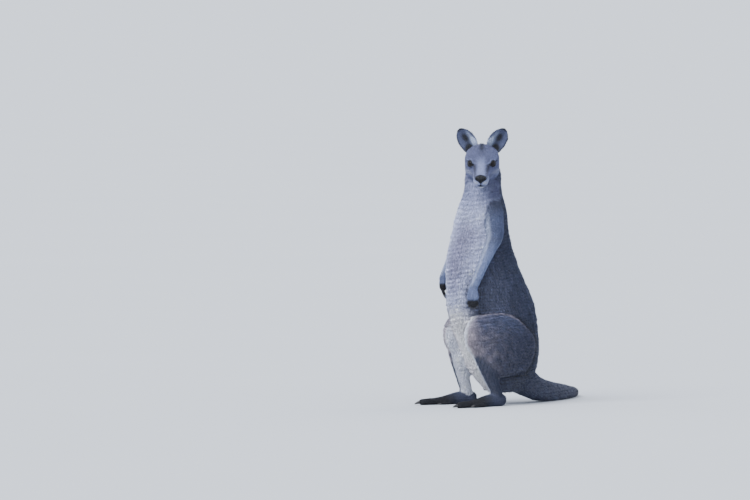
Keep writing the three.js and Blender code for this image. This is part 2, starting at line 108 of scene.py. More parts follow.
def hill(distance, reach):
    return np.exp(-((distance / reach) ** 2))


def mixed(a, b, share):
    share = np.asarray(share)[..., None] if np.ndim(a) > np.ndim(share) else share
    return a + (b - a) * share


def span_distance(points, a, b):
    """Distance of each point to the span from a to b, and how far along the span it is, 0 to 1."""
    t = np.clip((points - a) @ (b - a) / ((b - a) @ (b - a)), 0, 1)
    return np.linalg.norm(points - a - t[:, None] * (b - a), axis=1), t


def line_distance(points, line):
    """Distance of each point to a line of points, and how far along the line it is, 0 to 1."""
    line = np.asarray(line, float)
    best = np.full(len(points), FAR)
    along = np.zeros(len(points))
    spans = len(line) - 1
    for i in range(spans):
        distance, t = span_distance(points, line[i], line[i + 1])
        near = distance < best
        best[near] = distance[near]
        along[near] = (i + t[near]) / spans
    return best, along


def waves(points, size, seed):
    """Smooth random values from about -1 to 1 that change over about `size`."""
    random = np.random.default_rng(seed)
    total = np.zeros(len(points))
    for _ in range(WAVES_IN_ALL):
        direction = unit(random.normal(size=3)) * 2 * math.pi / (size * random.uniform(0.8, 2.2))
        total += np.sin(points @ direction + random.uniform(0, 2 * math.pi))
    return total / WAVES_AT_ONCE


HEAD_TURN = turn("Z", HEAD_YAW) @ turn("X", HEAD_PITCH)


def box_middle(node):
    low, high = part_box(node)
    return np.array((low + high) / 2) / MM


EYES_MIDDLE = (box_middle("eye_left") + box_middle("eye_right")) / 2
ORIGIN = EYES_MIDDLE - HEAD_TURN @ (EYE * [0, 1, 1]) - NECK_TOP


def from_world(points):
    """Millimetres on the body's own axes, from metres in the frame."""
    return points / MM - ORIGIN


def to_world(points):
    return (points + ORIGIN) * MM


def to_head(points):
    return (points - NECK_TOP) @ HEAD_TURN


def from_head(points):
    return points @ HEAD_TURN.T + NECK_TOP


def ear_turn(side):
    return turn("X", -EAR_BACK) @ turn("Y", side * EAR_LEAN) @ turn("Z", side * EAR_TURN)


def to_ear(points, side):
    """From the body's axes to the ear's: z up the ear, hollow towards -y, x to the left."""
    return (to_head(points) - EAR_ROOT * [side, 1, 1]) @ ear_turn(side)


def ear_place(points, side):
    """Distance outward from the ear's middle line, height up the ear, and its half width there."""
    ear = to_ear(points, side)
    height = ear[:, 2]
    share = np.clip((height + EAR_FOOT) / (EAR_LENGTH + EAR_FOOT), 0, 1)
    leaf = np.sin(math.pi * np.minimum(0.08 + 0.92 * share**1.2, 0.995)) ** 0.55
    return ear[:, 0] * side + 7 * (1 - share), height, EAR_HALF * leaf


def ear_front(normals, side):
    """1 where the surface faces the way the ear's hollow does, -1 on the ear's back."""
    return -(normals @ HEAD_TURN @ ear_turn(side))[:, 1]


def face_place(head):
    """Distance from the head's middle plane, distance ahead and height, in the head's axes."""
    return np.abs(head[:, 0]), -head[:, 1], head[:, 2]


def near_line(head, line, reach):
    """1 on a line of the left of the face or on its mirror image, fading over its reach."""
    folded = head.copy()
    folded[:, 0] = np.abs(head[:, 0])
    return hill(line_distance(folded, line)[0], reach)


# ---- the skin ----

SKIN_GRAIN = 2.6 * MM  # voxel that the joined body is made of
OVERLAP = 0.4 * MM  # how far each part grows, to close the hairlines between them
SPREAD_STEP = 0.5  # how far a point goes to its neighbours' middle in a round
DOUBLES = 1e-5  # metres within which a node's loose corners are one point
TRUNK_ROUNDS, LIMB_ROUNDS, FOREARM_ROUNDS, HEAD_ROUNDS, EAR_ROUNDS = 110, 70, 26, 9, 5
FINE_LEVELS = 5  # steps between plain form and fine, for the thinning of triangles
KEPT_SHARE = 0.3  # of the skin's triangles, after the thinning


def read(items, field, width, kind=float):
    """One field of a mesh's points, edges or corners, as the rows of an array."""
    values = np.empty(len(items) * width, kind)
    items.foreach_get(field, values)
    return values.reshape(-1, width)


def points_of(mesh):
    return read(mesh.vertices, "co", 3)


def normals_of(mesh):
    return read(mesh.vertices, "normal", 3)


def edges_of(mesh):
    return read(mesh.edges, "vertices", 2, np.int64)


def set_points(mesh, points):
    mesh.vertices.foreach_set("co", np.ascontiguousarray(points, np.float32).ravel())
    mesh.update()


def new_object(name, data):
    piece = bpy.data.objects.new(name, data)
    bpy.context.scene.collection.objects.link(piece)
    return piece


def mesh_from(name, bm):
    mesh = bpy.data.meshes.new(name)
    bm.to_mesh(mesh)
    bm.free()
    return mesh


def with_modifiers(piece):
    """The piece's mesh with its modifiers applied, and the modifiers gone."""
    evaluated = piece.evaluated_get(bpy.context.evaluated_depsgraph_get())
    mesh = bpy.data.meshes.new_from_object(evaluated)
    old = piece.data
    piece.modifiers.clear()
    piece.data = mesh
    bpy.data.meshes.remove(old)
    return mesh


def merged_copy(node):
    bm = bmesh.new()
    bm.from_mesh(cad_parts[node].data)
    bmesh.ops.remove_doubles(bm, verts=bm.verts, dist=DOUBLES)
    bm.normal_update()
    return bm


def add_part(whole, part):
    """Adds one bmesh to another, and frees it."""
    mesh = mesh_from("part", part)
    whole.from_mesh(mesh)
    bpy.data.meshes.remove(mesh)


def put_on_body(piece, replaced=()):
    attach(piece, "root")
    if replaced:
        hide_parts(*replaced)


def joined_flesh():
    """All parts of the body in one mesh, each a hair larger, so that they run into each other."""
    whole = bmesh.new()
    for node in FLESH + ["nose", "eye_left", "eye_right"]:
        part = merged_copy(node)
        for v in part.verts:
            v.co += v.normal * OVERLAP
        add_part(whole, part)
    piece = new_object("skin", mesh_from("skin", whole))
    remesh = piece.modifiers.new("grain", "REMESH")
    remesh.mode = "VOXEL"
    remesh.voxel_size = SKIN_GRAIN
    with_modifiers(piece)
    return piece


def part_finder():
    """A tree that finds the body part nearest to a point, by its place in FLESH."""
    corners, faces, owner = [], [], []
    for i, node in enumerate(FLESH):
        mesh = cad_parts[node].data
        start = len(corners)
        corners += [v.co.copy() for v in mesh.vertices]
        faces += [[start + k for k in f.vertices] for f in mesh.polygons]
        owner += [i] * len(mesh.polygons)
    tree = BVHTree.FromPolygons(corners, faces)
    return lambda point: owner[tree.find_nearest(point)[2]]


def spread(values, edges, rounds, hold=None):
    """Evens out values over the mesh, a little each round; `hold` tells each point's last round."""
    count = len(values)
    a = np.concatenate([edges[:, 0], edges[:, 1]])
    b = np.concatenate([edges[:, 1], edges[:, 0]])
    neighbours = np.maximum(np.bincount(a, minlength=count), 1)
    values = values.copy()
    flat = values.reshape(count, -1)
    for i in range(rounds):
        moved = np.stack([np.bincount(a, flat[b, k], count) for k in range(flat.shape[1])], 1)
        step = SPREAD_STEP * (moved / neighbours[:, None] - flat)
        if hold is not None:
            step[hold <= i] = 0
        flat += step
    return values


def shares_of(mesh, part_at, rounds):
    """How much each vertex belongs to each part of FLESH, blended softly where parts meet."""
    points = points_of(mesh)
    owner = np.array([part_at(Vector(p)) for p in points])
    shares = np.zeros((len(points), len(FLESH)))
    shares[np.arange(len(points)), owner] = 1
    return spread(shares, edges_of(mesh), rounds)


def share_of(shares, *names):
    columns = [i for i, part in enumerate(FLESH) if part.startswith(names)]
    return shares[:, columns].sum(1)


def smoothed(piece, part_at):
    """Rounds off the parts' flat faces: far on the trunk and tail, little where form is fine."""
    mesh = piece.data
    shares = shares_of(mesh, part_at, 6)
    rounds = sum(count * share_of(shares, *parts) for count, *parts in (
        (TRUNK_ROUNDS, "rump", "belly", "chest", "thigh", "tail"),
        (LIMB_ROUNDS, "neck", "shank", "upper_arm"),
        (FOREARM_ROUNDS, "forearm"),
        (HEAD_ROUNDS, "head", "lower_jaw"),
        (EAR_ROUNDS, "ear", "hand", "foot"),
    ))
    set_points(mesh, spread(points_of(mesh), edges_of(mesh), TRUNK_ROUNDS, rounds))
    return share_of(shares, "head", "lower_jaw", "ear", "hand", "foot", "forearm")


def thinned(piece, fineness):
    """Fewer triangles where form is plain. Points with a high fineness keep theirs."""
    group = piece.vertex_groups.new(name="plain")
    for level in range(FINE_LEVELS):
        inside = np.flatnonzero((fineness * (FINE_LEVELS - 0.01)).astype(int) == level)
        group.add(inside.tolist(), 1 - level / (FINE_LEVELS - 1), "REPLACE")
    decimate = piece.modifiers.new("thin", "DECIMATE")
    decimate.ratio = KEPT_SHARE
    decimate.vertex_group = group.name
    decimate.vertex_group_factor = 10
    mesh = with_modifiers(piece)
    piece.vertex_groups.clear()
    return mesh


def points_in(bm):
    return np.array([v.co for v in bm.verts])


def refined(mesh, centre_reaches):
    """Splits the edges near some places in two, for the fine forms of the face."""
    bm = bmesh.new()
    bm.from_mesh(mesh)
    points = from_world(points_in(bm))
    near = np.zeros(len(points), bool)
    for centre, reach in centre_reaches:
        near |= np.linalg.norm(points - centre, axis=1) < reach
    edges = [e for e in bm.edges if near[e.verts[0].index] and near[e.verts[1].index]]
    bmesh.ops.subdivide_edges(bm, edges=edges, cuts=1, use_grid_fill=True)
    bmesh.ops.triangulate(bm, faces=bm.faces)
    bm.to_mesh(mesh)
    bm.free()


# ---- form of the face, in the head's own axes ----


# for each fold: its line in the head's axes, its reach, and how far it stands out, in millimetres
FACE_FOLDS = (
    ([(43, -112, 14), (33, -134, 8), (25, -160, 2)], 8, -1.8),
    ([(0, -108, 46), (0, -140, 32), (0, -168, 20)], 10, 1.4),
    ([(40, -118, -10), (52, -90, -22), (58, -60, -20)], 12, 1.6),
    ([(34, -112, -44), (44, -86, -48), (50, -56, -46)], 7, -1.6),
)


def eye_axes(side):
    """The ball's middle, its gaze, and the axes along and across the lids."""
    mirror = np.array([side, 1, 1])
    gaze = unit(GAZE * mirror)
    along = LID_LINE * mirror
    along = unit(along - gaze * (along @ gaze))
    across = np.cross(gaze, along)
    return EYE * mirror, gaze, along, across * np.sign(across[2])


def lid_height(along, upper):
    """Half height of the open lids, in radians on the ball, at a place along them."""
    full = np.where(upper, LID_UPPER, LID_LOWER)
    return full * np.clip(1 - np.abs(along / LID_HALF) ** 2.3, 0, 1) ** 0.9


def lid_distance(points, side):
    """For points in the head's axes: distance outside the lids' edge in radians on the ball
    (negative where the ball shows), distance from its middle, and the two angles."""
    middle, gaze, along, across = eye_axes(side)
    offset = points - middle
    radius = np.linalg.norm(offset, axis=1)
    direction = unit(offset)
    angle = np.arccos(np.clip(direction @ gaze, -1, 1))
    flat = unit(np.stack([direction @ along, direction @ across], 1)) * angle[:, None]
    a, b = flat[:, 0], flat[:, 1]
    beyond = np.hypot(np.maximum(np.abs(a) - LID_HALF, 0), b)
    within = np.abs(b) - lid_height(a, b > 0)
    return np.where(np.abs(a) < LID_HALF, within, beyond), radius, a, b


def open_lids(head):
    """Wraps the skin round each ball, with a crease above it, and sinks it where the ball shows."""
    for side in SIDES.values():
        middle = eye_axes(side)[0]
        out, radius, _, b = lid_distance(head, side)
        lid = EYE_RADIUS + 1.3 + 2.6 * ramp(out, 0.0, 0.45)
        lid -= 1.1 * hill(out - 0.30, 0.08) * ramp(b, 0.05, 0.3)
        lid -= 0.6 * hill(out - 0.26, 0.07) * ramp(-b, 0.05, 0.3)
        lid = mixed(EYE_RADIUS - 3.0, lid, ramp(out, -0.05, 0.06))
        wanted = mixed(lid, radius, ramp(out, 0.25, 1.15))
        reach = 1 - ramp(radius, 26, 38)
        head += unit(head - middle) * ((wanted - radius) * reach)[:, None]


def mouth_height(ahead, aside):
    """Height of the mouth's line on the side of the muzzle; it dips in a V under the nose."""
    height = np.interp(ahead, [100, 112, 128, 150, 168, 190], [-43, -40, -36.5, -35, -35.5, -38])
    return height + 5.5 * np.clip(1 - aside / 10, 0, 1) * ramp(ahead, 160, 172)


def nose_distance(head, margin):
    """1 at the edge of the bare nose, widened by a margin; the nose narrows towards the lip."""
    offset = head - NOSE
    low = np.clip(-offset[:, 2] / NOSE_HALF[2], -1, 1)
    full = np.ones(len(head))
    half = (NOSE_HALF + margin) * np.stack([1 - 0.6 * ramp(low, -0.1, 0.95), full, full], 1)
    return np.linalg.norm(offset / half, axis=1)


def carve_mouth(head, normals):
    """The line of the mouth, the lips on both sides of it, and the cleft under the nose."""
    aside, ahead, up = face_place(head)
    height = up - mouth_height(ahead, aside)
    push = -2.6 * hill(height, 1.7) + 1.0 * hill(height - 4.5, 2.6) + 0.8 * hill(height + 4.2, 2.4)
    cleft = ramp(ahead, 168, 176) * ramp(up, -36, -33) * ramp(-up, 6, 10)
    push = push * ramp(ahead, 100, 116) - 2.2 * hill(aside, 1.5) * cleft
    whisker_rows = np.sin(height * 0.9) * ramp(ahead, 128, 140) * ramp(aside, 9, 16)
    push += 0.35 * whisker_rows * ramp(height, 5, 8) * ramp(-up, 4, 10)
    head += normals * push[:, None]


def face_folds(head, normals):
    """The long hollow from eye to muzzle, the bridge of the nose, and the cheek's edge."""
    push = sum(depth * near_line(head, line, reach) for line, reach, depth in FACE_FOLDS)
    head += normals * push[:, None]


# ---- the coat: how deep, how long, which way it lies ----

# for each kind of part: coat depth, tuft length, tuft width in millimetres, lift in degrees,
# tufts for each square centimetre
COAT = {
    "neck": (4.5, 16, 1.5, 17, 18),
    "chest": (4.6, 16, 1.6, 17, 16),
    "belly": (5.0, 17, 1.7, 17, 13.5),
    "rump": (5.0, 17, 1.7, 17, 16),
    "tail": (3.8, 15, 1.5, 15, 13),
    "upper_arm": (3.6, 13, 1.3, 16, 18),
    "forearm": (2.6, 10, 1.2, 15, 22),
    "hand": (1.2, 5.5, 1.0, 14, 34),
    "thigh": (4.3, 16, 1.6, 15, 15),
    "shank": (3.2, 12, 1.3, 14, 18),
    "foot": (1.4, 6.0, 1.1, 13, 24),
    "head": (1.6, 6.0, 0.95, 15, 50),
    "lower_jaw": (1.5, 5.0, 0.9, 15, 50),
    "ear": (0.9, 4.5, 0.8, 14, 45),
}


def coat_values(shares, column):
    return sum(share_of(shares, part) * values[column] for part, values in COAT.items())


def along_line(points, line):
    """The direction of the nearest span of a line, softened at its joints."""
    line = np.asarray(line, float)
    total = np.zeros_like(points)
    for a, b in zip(line[:-1], line[1:]):
        total += unit(b - a) * np.exp(-span_distance(points, a, b)[0] / JOINT_BLEND)[:, None]
    return unit(total)


def heading(x, y, z):
    return unit(np.array([x, y, z], float))


def lie_of_coat(body, normals, shares):
    """The way the hair lies at each point: from the nose back, down the body and out the limbs."""
    lie = np.zeros((len(body), 3))

    def lay(way, *parts):
        nonlocal lie
        lie += way * share_of(shares, *parts)[:, None]

    outward = normals * [1, 1, 0]
    lay(unit(heading(0, 0.22, -1) + 0.1 * outward), "neck", "chest")
    lay(heading(0, 0.25, -1), "belly")
    lay(heading(0, 0.55, -0.85), "rump")
    lay(along_line(body, TAIL_LINE), "tail")
    lay(heading(0, 0.5, -0.85), "thigh")
    lay(heading(0, 0.25, -1), "shank")
    lay(heading(0, -1, -0.12), "foot")
    for side, joints in ARMS.items():
        lay(unit(along_line(body, joints) + [0, 0.15, 0]), f"upper_arm_{side}", f"forearm_{side}")
        lay(heading(0, -0.35, -1), f"hand_{side}")
        lay(heading(*HEAD_TURN @ ear_turn(SIDES[side]) @ [0, 0, 1]), f"ear_{side}")
    from_nose = unit(to_head(body) - [0, -215, 0]) * [0.5, 1, 0.5] + [0, 0.5, 0]
    lay(unit(from_nose) @ HEAD_TURN.T, "head")
    lay(unit(from_nose + [0, 0, -0.2]) @ HEAD_TURN.T, "lower_jaw")
    sway = np.stack([waves(body, 70, seed) for seed in (11, 12, 13)], 1)
    return along_skin(unit(lie) + 0.10 * sway, normals)


# ---- markings ----


TINT = 0.72  # how much of each shade's own hue stays, the rest being grey
GREY_OF = [0.25, 0.60, 0.15]  # what red, green and blue add to a grey
DIM, BRIGHT = 0.002, 0.95  # the darkest and the palest that a coat is
BROAD_BAND, NARROW_BAND = 17, 12  # height of the bands in the trunk's hair, in millimetres
PAW_TOP = {"left": 430, "right": 488}  # height in millimetres where the dark hand begins


def shade(red, green, blue):
    """A colour from the values 0 to 255 that a screen shows, as light."""
    c = np.array([red, green, blue]) / 255
    light = np.where(c > 0.04045, ((c + 0.055) / 1.055) ** 2.4, c / 12.92)
    grey = light @ GREY_OF
    return grey + (light - grey) * TINT


BACK = shade(52, 60, 90)
FLANK = shade(79, 85, 116)
BREAST = shade(198, 206, 249)
# painted shadow of the left arm, laid on the chest and belly beside it
PAINTED_ARM_SHADOW = shade(138, 131, 172)
GROIN = shade(246, 240, 246)
LEG_INSIDE = shade(226, 229, 248)
NAPE = shade(100, 104, 148)
THROAT = shade(162, 170, 216)
ARM = shade(84, 97, 140)
FOREARM = shade(122, 141, 194)
ARM_EDGE = shade(190, 202, 238)
HAND = shade(112, 128, 178)
PAW = shade(32, 31, 40)
HAUNCH = shade(56, 60, 90)
# the pale front of the haunch, and a painted highlight on its top edge
HAUNCH_FRONT_AND_HIGHLIGHT = shade(182, 165, 178)
# painted shade for the fold behind the haunch
PAINTED_CREASE_SHADE = shade(22, 24, 36)
TAIL_END = shade(38, 38, 48)
FOREHEAD = shade(94, 101, 148)
CHEEK = shade(104, 113, 162)
MUZZLE = shade(138, 151, 206)
STRIPE = shade(54, 54, 78)
EYE_RIM = shade(20, 19, 25)
CHIN = shade(196, 204, 232)
EAR_BACK_COAT = shade(76, 82, 112)
EAR_RIM = shade(38, 42, 60)
EAR_HOLLOW = shade(88, 98, 142)
EAR_SKIN = shade(22, 24, 34)
EAR_WHITE = shade(186, 204, 242)


def facing(normals, degrees, spread_degrees, turned=0.0):
    """1 where the body faces its own front, 0 at the back, changing at that many degrees."""
    azimuth = np.degrees(np.arctan2(normals[:, 0], -normals[:, 1])) - turned
    return 1 - ramp(np.abs(azimuth), degrees - spread_degrees, degrees + spread_degrees)


def plain(colour, body):
    return np.tile(colour, (len(body), 1))


def painted(colour, *layers):
    """Lays shades over one another, each as far as its mask says."""
    for over, mask in layers:
        colour = mixed(colour, over, mask)
    return colour


def darkness(colour):
    return 1 - ramp(colour.mean(1), 0.08, 0.35)


def trunk_colour(body, normals, shares):
    """Dark above and behind; the pale front is widest at the breast and narrows to the groin."""
    z = body[:, 2]
    ragged = 5 * waves(body, 26, 21)
    turned = np.interp(z, [468, 626, 769, 885], [2, 6, 12, 32])
    colour = mixed(plain(BACK, body), FLANK, 0.8 * facing(normals, 96 + ragged, 30, turned))
    edge = np.interp(z, [300, 437, 500, 548, 674, 760, 850], [30, 34, 44, 54, 68, 76, 84])
    front = facing(normals, edge + ragged, 12, turned)
    throat = facing(normals, 44 + 2 * ragged, 30, turned - 6)
    # painted shade: a darker band along this line, where the left arm shadows the chest and belly
    arm_shadow_line = [(20, -190, 480), (30, -150, 600), (44, -110, 690)]
    breast = painted(
        plain(BREAST, body),
        (GROIN, 1 - ramp(z, 320, 440)),
        (PAINTED_ARM_SHADOW, 0.75 * hill(line_distance(body, arm_shadow_line)[0], 52)),
        (THROAT, ramp(z, 745 + 3 * ragged, 850)),
        (NAPE, ramp(z, 800, 850) * (1 - throat)),
    )
    return mixed(colour, breast, front * share_of(shares, "neck", "chest", "belly", "rump"))


def leg_colour(colour, body, normals, shares, haunch):
    """Haunch: pale in front, painted highlight on its top edge, painted shade in the fold behind
    it.
    """
    z, back = body[:, 2], body[:, 1]
    ragged = 8 * waves(body, 22, 22)
    thigh = share_of(shares, "thigh")
    top = ramp(z + ragged, 270, 400) * (1 - ramp(back, 60, 150)) * thigh
    # painted highlight: a pale line along the haunch's top edge
    edge = hill(haunch - 0.6, 0.16) * ramp(z, 220, 330) * (1 - ramp(back, 60, 140))
    # painted shade in the fold between the haunch and the rump
    fold = hill(haunch - 0.34, 0.24) * ramp(back, 10, 80) * (1 - ramp(z, 330, 420))
    inner = ramp(-normals[:, 0] * np.sign(body[:, 0]) - 0.3 * normals[:, 1], 0.1, 0.5)
    legs = share_of(shares, "thigh", "shank")
    return painted(
        colour,
        (HAUNCH, thigh * 0.8),
        (HAUNCH_FRONT_AND_HIGHLIGHT, 0.8 * facing(normals, 56 + 1.5 * ragged, 36) * thigh),
        (GROIN, 0.85 * facing(normals, 8 + ragged, 14) * thigh),
        (ARM, 0.7 * top),
        (HAUNCH_FRONT_AND_HIGHLIGHT, 0.6 * edge),
        (PAINTED_CREASE_SHADE, 0.9 * fold),
        (LEG_INSIDE, inner * legs * (1 - ramp(back, 40, 110))),
        (mixed(BACK, PAW, 0.3), share_of(shares, "shank") * (1 - inner) * 0.5),
    )


def limb_colour(colour, body, normals, shares):
    """Arms paler below the elbow and along their edges, dark hands and feet, and the tail."""
    z = body[:, 2]
    colour = mixed(colour, ARM, share_of(shares, "upper_arm") * ramp(790 - z, -30, 50))
    for side, (_, elbow, wrist) in ARMS.items():
        forearm = share_of(shares, f"forearm_{side}")
        arm = forearm + share_of(shares, f"upper_arm_{side}")
        hand = share_of(shares, f"hand_{side}") + forearm * (1 - ramp(z, wrist[2], wrist[2] + 30))
        edge = 0.8 * facing(normals, 22, 22) + 0.8 * (1 - facing(normals, 142, 20)) * forearm
        below_elbow = 1 - ramp(z, elbow[2] - 70, elbow[2] + 30)
        above_paw = ramp(z, PAW_TOP[side] - 7, PAW_TOP[side] + 5)
        colour = painted(
            colour,
            (FOREARM, np.clip(arm, 0, 1) * below_elbow),
            (ARM_EDGE, np.clip(edge, 0, 0.85) * arm),
            (mixed(plain(PAW, body), HAND, above_paw), np.clip(hand, 0, 1)),
        )
    tail = share_of(shares, "tail")
    _, along = line_distance(body, TAIL_LINE)
    return painted(
        colour,
        (PAW, share_of(shares, "foot") * ramp(-body[:, 1], 20, 110)),
        (mixed(BACK, FLANK, 0.3), tail),
        (FLANK, tail * ramp(-normals[:, 2], 0.1, 0.8) * 0.8),
        (TAIL_END, tail * ramp(along, 0.45, 0.95)),
    )


def face_colour(colour, body, shares):
    """A pale bridge between two dark stripes, dark rims, and a pale chin under the mouth."""
    head = to_head(body)
    aside, ahead, up = face_place(head)

    def near(line, reach):
        return near_line(head, line, reach)

    stripe = near([(31, -108, 34), (27, -132, 20), (21, -160, 6), (19, -174, 0)], 9)
    bridge = near([(0, -92, 56), (0, -120, 42), (0, -150, 27), (0, -172, 16)], 15)
    face = painted(
        plain(FOREHEAD, body),
        (CHEEK, ramp(-up, -12, 24) * ramp(ahead, 30, 70)),
        (STRIPE, 0.45 * ramp(-up, -8, 14) * near([(46, -112, 2), (40, -130, -16)], 13)),
        (MUZZLE, ramp(ahead, 140, 168)),
        (STRIPE, np.clip(1.2 * stripe, 0, 0.8) * ramp(ahead, 100, 126)),
        (MUZZLE, np.clip(1.6 * bridge, 0, 1) * ramp(ahead, 86, 130)),
        (CHIN, 0.3 * near([(46, -122, -8), (56, -92, -8), (62, -66, -6)], 9)),
        (STRIPE, 0.35 * near([(0, -60, 72), (0, -84, 62)], 13)),
        (EAR_RIM, 0.9 * near([(0, -40, 86), (0, -64, 76)], 11)),
        (CHIN, ramp(-up, 37, 42) * ramp(ahead, 96, 130)),
        (CHIN, 0.85 * near([(15, -186, -19), (24, -168, -22)], 7)),
        (CHEEK, ramp(40 - ahead, 0, 40) * 0.7),
        (mixed(BACK, NAPE, 0.4), ramp(42 - ahead, 0, 34) * ramp(up, -30, 20)),
    )
    for side in SIDES.values():
        out, radius, a, b = lid_distance(head, side)
        close = 1 - ramp(radius, 26, 36)
        corners = 1.3 * hill(b - 0.30, 0.17) * ramp(-a, 0.4, 0.8) * (1 - ramp(-a, 1.5, 1.9))
        inner = 0.3 * hill(b + 0.12 * a + 0.1, 0.16)
        corners += inner * ramp(a, 0.6, 0.9) * (1 - ramp(a, 1.2, 1.6))
        face = painted(
            face,
            (EYE_RIM, (1 - ramp(out, 0.24, 0.60)) * close),
            (EYE_RIM, np.clip(corners, 0, 0.8) * close),
            (MUZZLE, 0.5 * hill(out - 0.62, 0.2) * ramp(b, 0.1, 0.5) * close),
        )
    mouth = hill(up - mouth_height(ahead, aside), 2.2) * ramp(ahead, 104, 116)
    mouth += 1.5 * hill(np.hypot(aside / 8, (up + 34) / 4), 1) * ramp(ahead, 166, 176)
    mouth += hill(aside, 2.4) * ramp(ahead, 174, 180) * ramp(-up, 10, 14) * ramp(up, -38, -34)
    face = painted(
        face,
        (EYE_RIM, 1 - ramp(nose_distance(head, 2.5), 0.94, 1.10)),
        (EYE_RIM, np.clip(mouth, 0, 0.95)),
    )
    return mixed(colour, face, share_of(shares, "head", "lower_jaw"))


def ear_colour(colour, body, normals, shares):
    """Two dark hollows and a white inner edge in front, a dark rim, and a dark tip behind."""
    for name, side in SIDES.items():
        across, height, half = ear_place(body, side)

        def spot(x, z, wide, tall):
            return hill(np.hypot((across - x) / wide, (height - z) / tall), 1)

        edge = ramp(np.abs(across) / half, 0.74, 0.96)
        rim = edge * np.maximum(ramp(across, -26, 0), ramp(height, 50, 70))
        inside = painted(
            plain(EAR_HOLLOW, body),
            (EAR_SKIN, np.clip(1.3 * spot(2, 66, 13, 20), 0, 0.95)),
            (EAR_SKIN, np.clip(2.2 * spot(8, 20, 15, 17), 0, 1)),
            (EAR_WHITE, np.clip(1.8 * spot(-22, 36, 10, 20), 0, 1)),
            (EAR_WHITE, 0.35 * spot(-18, 76, 8, 14)),
            (EAR_RIM, 0.9 * rim),
            (EAR_RIM, 0.9 * ramp(height, 94, 106)),
        )
        outside = mixed(plain(EAR_BACK_COAT, body), EAR_RIM, ramp(height, 60, 110))
        shown = mixed(outside, inside, ramp(ear_front(normals, side), -0.1, 0.35))
        colour = mixed(colour, shown, share_of(shares, f"ear_{name}"))
    return colour


def markings(body, normals, broad_normals, shares, haunch):
    """The whole coat's shades, with a mottle that is stronger where it is dark."""
    colour = trunk_colour(body, broad_normals, shares)
    colour = leg_colour(colour, body, broad_normals, shares, haunch)
    colour = limb_colour(colour, body, normals, shares)
    colour = face_colour(colour, body, shares)
    colour = ear_colour(colour, body, normals, shares)
    depth = mixed(0.08, 0.16, darkness(colour))
    mottle = depth * waves(body, 14, 31) + 0.08 * waves(body, 50, 32)
    long_coat = share_of(shares, "neck", "chest", "belly", "rump", "thigh", "tail")
    return np.clip(colour * (1 + mottle * long_coat)[:, None], DIM, BRIGHT)


def fur_bands(body, height):
    """The wavy bands, one above the other, into which the hair of the trunk parts."""
    drift = 5 * waves(body * [1, 1, 0.5], 90, 41) + 1.5 * waves(body, 34, 42)
    rise = 0.10 * (body[:, 0] + body[:, 1])
    phase = 2 * math.pi * (body[:, 2] - rise + drift) / height
    broken = np.clip(0.75 + 0.45 * waves(body * [1, 1, 2], 2.2 * height, 43), 0.1, 1.4)
    return np.sin(phase + 0.6 * np.sin(phase)) * broken


def band_shade_strength(colour, shares):
    """Strength of the broad and narrow bands' painted light and shade: broad where the coat is
    pale.
    """
    trunk = share_of(shares, "chest", "belly", "rump") + 0.6 * share_of(shares, "neck", "thigh")
    front = 0.24 * share_of(shares, "chest", "neck") + 0.50 * share_of(shares, "belly")
    dark = darkness(colour)
    return np.stack([front * (1 - dark), 0.85 * dark * trunk], 1)


def band_light_and_shade(strength, body):
    """Lighter or darker than the marking: the painted light and shade of the coat's bands."""
    broad, narrow = fur_bands(body, BROAD_BAND), fur_bands(body, NARROW_BAND)
    return np.clip(1 + strength[:, 0] * broad + strength[:, 1] * narrow, 0.3, 2.0)


# ---- finishes ----


class Wire:
    """A socket in a shader. Arithmetic on it adds the Math node that does the sum."""

    def __init__(self, finish, socket):
        self.finish, self.socket = finish, socket

    def _sum(self, operation, *values):
        return self.finish.node("ShaderNodeMath", {"operation": operation}, dict(enumerate(values)))

    def __add__(self, other):
        return self._sum("ADD", self, other)

    def __sub__(self, other):
        return self._sum("SUBTRACT", self, other)

    def __mul__(self, other):
        return self._sum("MULTIPLY", self, other)

    def __rsub__(self, other):
        return self._sum("SUBTRACT", other, self)

    __radd__ = __add__
    __rmul__ = __mul__

    def over(self, low, high):
        """0 at low and 1 at high, smooth between."""
        return self.finish.node("ShaderNodeMapRange", {"interpolation_type": "SMOOTHSTEP"},
                                {0: self, 1: low, 2: high}, "Result")


class Finish:
    """A procedural material. Constants are set on the shader's own sockets."""

    def __init__(self, name, **constants):
        self.material = bpy.data.materials.new(name)
        self.material.use_nodes = True
        self.tree = self.material.node_tree
        self.shader = self.tree.nodes["Principled BSDF"]
        for socket, value in constants.items():
            self.shader.inputs[socket.replace("_", " ")].default_value = value

    def node(self, kind, settings=None, inputs=None, output=0):
        """Any node: its settings first, then the values or links of its sockets."""
        made = self.tree.nodes.new(kind)
        for name, value in (settings or {}).items():
            setattr(made, name, value)
        for name, value in (inputs or {}).items():
            if isinstance(value, Wire):
                self.tree.links.new(value.socket, made.inputs[name])
            else:
                made.inputs[name].default_value = value
        return Wire(self, made.outputs[output])

    def feed(self, socket, value):
        self.tree.links.new(value.socket, self.shader.inputs[socket])

    def place(self):
        return self.node("ShaderNodeTexCoord", output="Object")

    def noise(self, scale, detail, at=None):
        inputs = {"Vector": at or self.place(), "Scale": scale, "Detail": detail}
        return self.node("ShaderNodeTexNoise", inputs=inputs)

    def mix(self, share, a, b):
        """A blend of two colours, each a wire or three numbers."""
        ends = {0: share}
        for socket, colour in ((6, a), (7, b)):
            ends[socket] = colour if isinstance(colour, Wire) else (*colour, 1)
        return self.node("ShaderNodeMix", {"data_type": "RGBA"}, ends, 2)

    def attribute(self, name):
        return self.node("ShaderNodeAttribute", {"attribute_name": name})

    def bump(self, height, strength, distance):
        inputs = {"Strength": strength, "Distance": distance, "Height": height}
        self.feed("Normal", self.node("ShaderNodeBump", inputs=inputs))


COLOUR, BAKE_MAP = "coat_colour", "OFBake"


